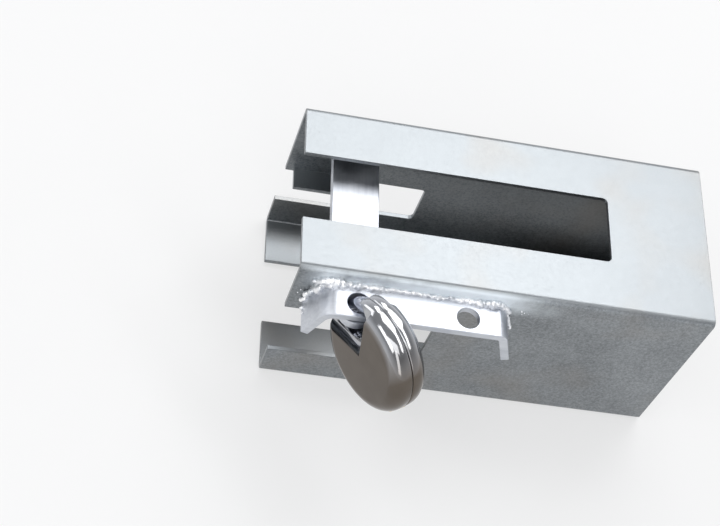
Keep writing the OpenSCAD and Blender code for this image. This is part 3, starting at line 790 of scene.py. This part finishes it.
# %% Bracket bead
SEAM_Y, WALL_Y = -HALF_W - 0.7, -56.6
seam_corners = (
    (7.4, 91), (14.1, 107.4), (18.3, 112.6), (24.8, 114.5), (50, 114.5), (96, 114.5),
    (119.3, 114.5), (123.6, 113.2), (126, 109.9), (133.4, 91),
)
seam_sizes = (
    (0.06, 1.6), (0.11, 2.4), (0.2, 3.1), (0.36, 2.5), (0.64, 1.5),
    (0.72, 2.0), (0.82, 2.6), (0.88, 1.8), (1, 1.1),
)
lumps = (
    ((10.5, -59, 103.5), 2.2), ((8.8, -58, 99.5), 2.2), ((14, -59.5, 109.5), 2.4), ((20, -59, 114.2), 2.6),
    ((10.6, -57.2, 113.0), 1.4), ((12.8, -57.4, 113.9), 1.9), ((15.2, -57.6, 114.9), 2.3),
    ((17.8, -57.8, 115.9), 2.5), ((20.4, -57.9, 116.4), 2.6), ((23.2, -58, 116.4), 2.5),
    ((26, -58, 116), 2.3), ((27, -58.5, 115.2), 2.4), ((33, -58.2, 115.2), 2.2), ((43, -57.8, 115), 1.9),
    ((108, -58.6, 115), 2.0), ((112, -57.8, 116), 2.0), ((115, -57.9, 116.6), 2.3),
    ((118, -57.9, 116.6), 2.3), ((120.6, -57.7, 115.8), 2.0), ((116, -58.8, 115.2), 2.3),
    ((121.5, -58.4, 114.6), 2.2), ((8.2, -62, 90.2), 1.5), ((8.6, -65.5, 90.6), 1.2),
)
spatter = (
    ((134.5, WALL_Y, 110.5), 0.7), ((136.6, WALL_Y, 109.2), 0.6), ((137.4, WALL_Y, 111.2), 0.5),
    ((135.6, WALL_Y, 107.4), 0.5), ((139.5, WALL_Y, 108.4), 0.4), ((5.2, WALL_Y, 101), 0.7),
    ((4.1, WALL_Y, 97.5), 0.6),
)
seam_path = [(x, SEAM_Y, z) for x, z in seam_corners]
bracket_bead = lay_bead(
    "bracket_bead", seam_path, seam_sizes, step=1.5, spread=0.5, lumps=lumps + spatter,
)
seat(bracket_bead, "box", weld_metal, "bracket_weld")

# %% [markdown]
# A plate closes the nose. It sits a little inside the folded sheet and is welded all round, along the
# lips below only as far as these reach. The plate starts as a block with its four long corners rounded to
# fit the folds, and its bead is laid with the same drops, small and even, because this seam is flat and
# easy to reach.

# %% Nose plate
NOSE = (244, 247)
NOSE_CORNER = 2.3
INNER_W, INNER_TOP = HALF_W - SHEET, BOX_H - SHEET
BEAD_IN, BEAD_OUT = 0.6, 0.7

nose = block("nose_sheet", (NOSE[0], -INNER_W, SHEET), (NOSE[1], INNER_W, INNER_TOP))
edit(nose)
pick("EDGE", lambda middle, along: abs(along.x) > ALONG)
bpy.ops.mesh.bevel(offset=mm(NOSE_CORNER), segments=6, affect="EDGES")
break_edges(nose, 0.4)
seat(nose, "box", galvanised, "nose_plate")

side, low, high = INNER_W - BEAD_IN, SHEET + BEAD_IN, INNER_TOP - BEAD_IN
nose_corners = (
    (-SLOT_HALF, low), (-side, low), (-side, high), (side, high), (side, low), (SLOT_HALF, low),
)
nose_path = [(NOSE[1] + BEAD_OUT, y, z) for y, z in nose_corners]
nose_bead = lay_bead("nose_bead", nose_path, ((1, 1.45),), step=1.7, spread=0.3, voxel=0.45)
seat(nose_bead, "box", dipped_weld, "nose_weld")

# %% [markdown]
# The tongue is a broad flat bar that crosses the box. Its near end is narrower and round, with an eye for
# the shackle. Its outline could be drawn and extruded, but a block needs fewer points. Two cuts by bisect
# mark the narrow end, which is extruded and rounded by a bevel, and the eye is drilled.

# %% Tongue
TONGUE_X = (20.5, 49)
TONGUE_LOW, TONGUE_TOP = 102.3, 108.3
PROUD = 1
TONGUE_EYE_R = 8.034
END_R = TONGUE_EYE_R + 2.6
END_ROUND = END_R - 0.05
EYE_X, EYE_Y = EYES[0]
END_Y = EYE_Y - END_R

tongue = block(
    "tongue_bar", (TONGUE_X[0], -HALF_W, TONGUE_LOW), (TONGUE_X[1], HALF_W + PROUD, TONGUE_TOP),
)
edit(tongue)
for cheek in (EYE_X - END_R, EYE_X + END_R):
    bpy.ops.mesh.select_all(action="SELECT")
    bpy.ops.mesh.bisect(plane_co=mm(cheek, 0, 0), plane_no=(1, 0, 0))
pick("FACE", lambda middle, normal: normal.y < -ALONG and abs(middle.x - EYE_X) < 1)
bpy.ops.mesh.extrude_region_move(TRANSFORM_OT_translate={"value": mm(0, END_Y + HALF_W, 0)})
pick("EDGE", lambda middle, along: abs(along.z) > ALONG and middle.y < END_Y + NEAR)
bpy.ops.mesh.bevel(offset=mm(END_ROUND), segments=16, affect="EDGES")
drill(tongue, EYES[0], TONGUE_EYE_R, TONGUE_LOW - PAST, TONGUE_TOP + PAST)
break_edges(tongue, 0.5)
seat(tongue, "box", tongue_finish, "locking_tongue")

# %% [markdown]
# The padlock's two halves are deep-drawn cups with a rounded rim. A profile could be turned for them, but
# a cylinder whose rim and seam are rounded by a bevel is quicker. It is modelled lying flat, and can be
# drawn in by an inset, because the hollow has the same form.

# %% Cup
PAD_R, PAD_HALF, PAD_ROUND = 35, 12, 9
# On the padlock's fine mesh, only places closer than this, in millimetres, count as one.
HAIR = 0.01


def cup(inset, base, seam):
    """A half without openings: a cylinder on base, with a round rim, and a round seam if it is given one."""
    height = PAD_HALF - inset - base
    put_down()
    bpy.ops.mesh.primitive_cylinder_add(
        vertices=160, radius=mm(PAD_R - inset), depth=mm(height), location=mm(0, 0, base + height / 2),
    )
    half = named("pad_half")
    edit(half)
    pick("EDGE", lambda middle, along: abs(middle.z - PAD_HALF + inset) < HAIR)
    bpy.ops.mesh.bevel(offset=mm(PAD_ROUND - inset), segments=14, affect="EDGES")
    if seam:
        pick("EDGE", lambda middle, along: abs(middle.z - base) < HAIR)
        bpy.ops.mesh.bevel(offset=mm(seam), segments=5, affect="EDGES")
    return half


# %% [markdown]
# The press also gives the cup a U-shaped mouth, which looks to +X here, and a conical scoop in its face
# before the mouth. Both are cut out with tools that have round corners, as the press has: a block with a
# round inner end, and a lying cone with a flat floor.

# %% Mouth and scoop
MOUTH_FLOOR, MOUTH_HALF_W = 10.5, 14.5
SCOOP_TIP, SCOOP_ANGLE, SCOOP_DEPTH, SCOOP_ROUND = 1.5, math.radians(48), 5.7, 2.2
TOOL_REACH, TOOL_HALF_H = 60, 20


def mouth_tool(inset):
    """The U-shaped mouth: a block whose inner end is round."""
    half_w = MOUTH_HALF_W + inset
    tool = block(
        "mouth", (MOUTH_FLOOR - inset, -half_w, -TOOL_HALF_H), (TOOL_REACH, half_w, TOOL_HALF_H),
    )
    edit(tool)
    pick("EDGE", lambda middle, along: abs(along.z) > ALONG and middle.x < TOOL_REACH / 2)
    bpy.ops.mesh.bevel(offset=mm(half_w - HAIR), segments=28, affect="EDGES")
    return tool


def scoop_tool(inset):
    """The scoop: a lying cone, cut off flat at the scoop's floor, whose edge is rounded."""
    floor_z = PAD_HALF - SCOOP_DEPTH - inset
    tip = SCOOP_TIP - inset / math.sin(SCOOP_ANGLE)
    put_down()
    bpy.ops.mesh.primitive_cone_add(
        vertices=128, radius1=mm(TOOL_REACH * math.tan(SCOOP_ANGLE)), radius2=0, depth=mm(TOOL_REACH),
        location=mm(tip + TOOL_REACH / 2, 0, PAD_HALF), rotation=(0, -math.pi / 2, 0),
    )
    tool = named("scoop")
    edit(tool)
    bpy.ops.mesh.select_all(action="SELECT")
    bpy.ops.mesh.bisect(
        plane_co=mm(0, 0, floor_z), plane_no=(0, 0, 1), use_fill=True, clear_inner=True,
    )
    pick("EDGE", lambda middle, along: abs(middle.z - floor_z) < HAIR and middle.x < TOOL_REACH - 1)
    bpy.ops.mesh.bevel(offset=mm(SCOOP_ROUND), segments=5, affect="EDGES")
    return tool


# %% [markdown]
# A half is the cup with both openings. The edge at the seam, where the two halves meet, is rounded only
# on the outside form, so that a fine groove shows round the padlock.

# %% Half of the padlock
SEAM_ROUND = 1.2


def pad_half(inset, base, seam=0):
    """One half of the padlock as a solid that stands on base, with all its faces moved in by inset."""
    half = cup(inset, base, seam)
    cut(half, mouth_tool(inset))
    cut(half, scoop_tool(inset))
    return half


front_shell = pad_half(0, 0, SEAM_ROUND)
print("padlock half", len(front_shell.data.polygons), "faces")

# %% [markdown]
# The real half is a cup of 1.5 mm sheet. A second, smaller half, drawn in by the thickness of the sheet,
# is taken out as the hollow, so that the wall is about as thick everywhere. A ring is taken out where the
# shackle runs through the sides of the mouth, and a round hole in the rim lets the neck of the lock
# cylinder through.

# %% Hollow
PAD_WALL, HOLLOW_BASE = 1.5, -3
RING_R, ROD_R, ROD_ROOM = 28.7, 4.5, 0.28
NECK_R, NECK_LENGTH, NECK_X = 6.3, 30, -32.5

cut(front_shell, pad_half(PAD_WALL, HOLLOW_BASE))
put_down()
bpy.ops.mesh.primitive_torus_add(
    major_radius=mm(RING_R), minor_radius=mm(ROD_R + ROD_ROOM), major_segments=120, minor_segments=32,
)
cut(front_shell, named("ring_way"))
put_down()
bpy.ops.mesh.primitive_cylinder_add(
    vertices=64, radius=mm(NECK_R), depth=mm(NECK_LENGTH), location=mm(NECK_X, 0, 0),
    rotation=(0, math.pi / 2, 0),
)
cut(front_shell, named("neck_hole"))
print("hollow half", len(front_shell.data.polygons), "faces")

# %% [markdown]
# The lips of the mouth and of the scoop are rounded by the press. The cuts leave tiny edges where they
# cross the rim's rows of faces. Merging points that nearly touch clears these up, so that a bevel can
# round the lips. Only the lips are picked: sharp edges on the face or on the mouth's wall. A last, finer
# merge closes the mesh where the bevel's corners meet.

# %% Rounded lips
LIP, SHARP = 0.6, math.radians(28)
FACE_NEAR, WALL_NEAR = 0.05, 0.15
MERGE_WIDE, MERGE_FINE, MERGE_THIN = 0.12, 0.02, 0.005
MOUTH_CENTRE = MOUTH_FLOOR + MOUTH_HALF_W


def on_lip(spot):
    """Tells whether a spot of the half, in millimetres, is on the lip of the mouth or of the scoop."""
    beside = abs(spot.y) if spot.x > MOUTH_CENTRE else math.hypot(spot.x - MOUTH_CENTRE, spot.y)
    on_face = spot.z > PAD_HALF - FACE_NEAR
    on_wall = abs(beside - MOUTH_HALF_W) < WALL_NEAR
    return spot.z > PAD_HALF / 2 - 0.5 and (on_face or on_wall)


edit(front_shell)
bpy.ops.mesh.select_all(action="SELECT")
bpy.ops.mesh.remove_doubles(threshold=mm(MERGE_WIDE))
bpy.ops.mesh.select_mode(type="EDGE")
bpy.ops.mesh.select_all(action="DESELECT")
bpy.ops.mesh.edges_select_sharp(sharpness=SHARP)
shell_mesh = bmesh.from_edit_mesh(front_shell.data)
for edge in shell_mesh.edges:
    edge.select_set(edge.select and on_lip((edge.verts[0].co + edge.verts[1].co) / 2 * 1000))
shell_mesh.select_flush_mode()
print("lip edges", sum(edge.select for edge in shell_mesh.edges))
bpy.ops.mesh.bevel(offset=mm(LIP), segments=3, affect="EDGES")
bpy.ops.mesh.select_all(action="SELECT")
bpy.ops.mesh.remove_doubles(threshold=mm(MERGE_FINE))
bpy.ops.mesh.dissolve_degenerate(threshold=mm(MERGE_THIN))
put_down()
print("rounded half", len(front_shell.data.polygons), "faces")

# %% [markdown]
# The second half is a copy turned over about the mouth's axis, which works because both sides of a half
# are alike. Both are then moved from the bench to where the padlock hangs, with its mouth round the eye.

# %% Two shells
SMOOTH_BELOW = math.radians(25)


def hang(piece, name):
    """Moves a padlock piece that was modelled flat to its hanging place."""
    only(piece)
    piece.matrix_world = PAD_PLACE @ piece.matrix_world
    bpy.ops.object.transform_apply(location=True, rotation=True, scale=True)
    piece.name = piece.data.name = name


only(front_shell)
bpy.ops.object.duplicate()
rear_shell = bpy.context.object
rear_shell.rotation_euler.x = math.pi
bpy.context.view_layer.update()
for shell, name, solid in (
    (front_shell, "pad_front", "front_shell"), (rear_shell, "pad_rear", "rear_shell"),
):
    hang(shell, name)
    bpy.ops.object.shade_smooth_by_angle(angle=SMOOTH_BELOW)
    seat(shell, "padlock", polished_stainless, solid)

# %% [markdown]
# The shackle is a piece of round bar that lies on a ring about the padlock's centre, so that it can slide
# round out of the mouth. A curve with a round section would do too, but a filled circle that is spun
# about that centre brings its ends along, and their edges are then rounded. Without a window, spin turns
# the other way, so its angle is given with the opposite sign.

# %% Shackle
SHACKLE_FROM, SHACKLE_TO = math.radians(-63), math.radians(45)

put_down()
bpy.ops.mesh.primitive_circle_add(
    vertices=40, radius=mm(ROD_R), fill_type="NGON", location=mm(RING_R, 0, 0),
    rotation=(math.pi / 2, 0, 0),
)
shackle = named("shackle_bar")
shackle.rotation_euler.z = SHACKLE_FROM
bpy.ops.object.transform_apply(location=True, rotation=True, scale=True)
edit(shackle)
bpy.ops.mesh.select_all(action="SELECT")
bpy.ops.mesh.spin(
    steps=56, angle=SHACKLE_FROM - SHACKLE_TO, center=(0, 0, 0), axis=(0, 0, 1), dupli=False,
)
bpy.ops.mesh.select_all(action="SELECT")
bpy.ops.mesh.remove_doubles(threshold=mm(0.001))
bpy.ops.mesh.normals_make_consistent(inside=False)
break_edges(shackle, 1.0, steps=4, angle=50)
hang(shackle, "shackle_bar")
seat(shackle, "shackle", rod_sky_tint_finish, "shackle")

# %% [markdown]
# The lock stands on a wide sheet of pale paper. The picture has a white ground without much of a shadow,
# so the paper is made of two shaders: plain matt paper, which takes the shadow, and a share of even
# white, which is there only for what the camera sees, directly or in the metal. Away from the lock, that
# share grows, and the paper runs out into plain white. The light that the paper throws back stays as it
# is.

# %% Paper floor
FLOOR_SIZE, FLOOR_Z = 6000, -0.2
WHITE_NEAR, WHITE_FAR = 0.55, 0.97
FADE_FROM, FADE_TO = 200, 1500
FADE_CENTRE = mm(125, -30, 0)

put_down()
bpy.ops.mesh.primitive_plane_add(size=mm(FLOOR_SIZE), location=mm(0, 0, FLOOR_Z))
floor = bpy.context.object
floor.name = "floor"
paper, place = new_finish("floor_paper")
fibre = add(paper, "TexNoise", {"Vector": place, "Scale": per(60), "Detail": 3.0})
paper_tone = add(
    paper, "Mix",
    {"Factor": fibre.outputs["Fac"], MIX_A: colour("#d2d2d2"), MIX_B: colour("#d5d5d5")},
    data_type="RGBA",
)
matt = add(paper, "BsdfPrincipled", {"Base Color": paper_tone.outputs[MIX_COLOUR], "Roughness": 0.9})
even = add(paper, "Emission", {"Color": colour("#ffffff"), "Strength": 1.0})
ray = add(paper, "LightPath").outputs
seen = ray["Is Camera Ray"]
for other in ("Is Glossy Ray", "Is Transmission Ray"):
    seen = add(paper, "Math", {0: seen, 1: ray[other]}, operation="MAXIMUM").outputs[0]
away = add(paper, "VectorMath", {0: place, 1: FADE_CENTRE}, operation="DISTANCE").outputs["Value"]
white = add(
    paper, "MapRange",
    {"Value": away, "From Min": mm(FADE_FROM), "From Max": mm(FADE_TO), "To Min": WHITE_NEAR,
     "To Max": WHITE_FAR},
)
share = add(paper, "Math", {0: seen, 1: white.outputs[0]}, operation="MULTIPLY")
close(paper, add(paper, "MixShader", {0: share.outputs[0], 1: matt.outputs[0], 2: even.outputs[0]}))
floor.data.materials.append(paper)

# %% [markdown]
# Bright metal shows only what is round it, so the light is a ring of soft lamps. The largest stands above
# and behind the lock, where the top plate mirrors it and turns nearly white, while the near wall mirrors
# the shaded floor. The others stand round the lock, turned to the padlock, where its round rim, the folds
# and the bent legs mirror them as long bright streaks.

# %% Lamps
BOX_MIDDLE, PAD_MIDDLE = (125, 0, 60), (50, -90, 100)


def softbox(name, place, aim, size, power, along=(0, 0, 1)):
    """A lamp that faces a point: width and length in millimetres, its length turned towards a direction."""
    put_down()
    bpy.ops.object.light_add(type="AREA", location=mm(*place))
    lamp = bpy.context.object
    lamp.name = name
    lamp.data.shape = "RECTANGLE"
    lamp.data.size, lamp.data.size_y = mm(size[0]), mm(size[1])
    lamp.data.energy = power
    back = (mm(*place) - mm(*aim)).normalized()
    across = Vector(along).cross(back).normalized()
    lamp.rotation_euler = Matrix((across, back.cross(across), back)).transposed().to_euler()
    print(name, "gives", power, "W")


softbox("key_softbox", (560, 1080, 1850), BOX_MIDDLE, (1350, 1350), 21.5)
softbox("back_strip", (-10, 1600, 1170), PAD_MIDDLE, (300, 700), 2.5, (0.1, 0.5, -0.8))
softbox("back_left_softbox", (-1150, 1170, 1100), PAD_MIDDLE, (1100, 900), 6)
softbox("right_strip", (1000, 100, 1730), PAD_MIDDLE, (240, 1800), 5.5, (0.555, -0.822, -0.11))
softbox("front_softbox", (60, -950, 1780), PAD_MIDDLE, (1500, 700), 6)
softbox("front_low_strip", (200, -1500, 930), PAD_MIDDLE, (420, 1400), 3.6)
softbox("left_strip", (-830, -840, 1590), PAD_MIDDLE, (560, 1700), 8, (0.513, -0.845, -0.148))

# %% [markdown]
# Between the lamps, metal would mirror black. So the world is pale all round, brightest at the horizon,
# which the sides of the lock mirror, and dimmer overhead. The view transform is Standard, which shows
# colours as they are written.

# %% World
HORIZON, OVERHEAD = 1.25, 0.45

world = bpy.data.worlds.new("studio")
bpy.context.scene.world = world
world.use_nodes = True
skyward = add(world, "SeparateXYZ", {0: add(world, "TexCoord").outputs["Generated"]}).outputs["Z"]
glow = add(
    world, "MapRange",
    {"Value": skyward, "From Min": 0.0, "From Max": 0.6, "To Min": HORIZON, "To Max": OVERHEAD},
)
background = world.node_tree.nodes["Background"]
background.inputs["Color"].default_value = colour("#f4f6fa")
world.node_tree.links.new(glow.outputs[0], background.inputs["Strength"])
bpy.context.scene.view_settings.view_transform = "Standard"
print("world", world.name, "goes from", HORIZON, "to", OVERHEAD)
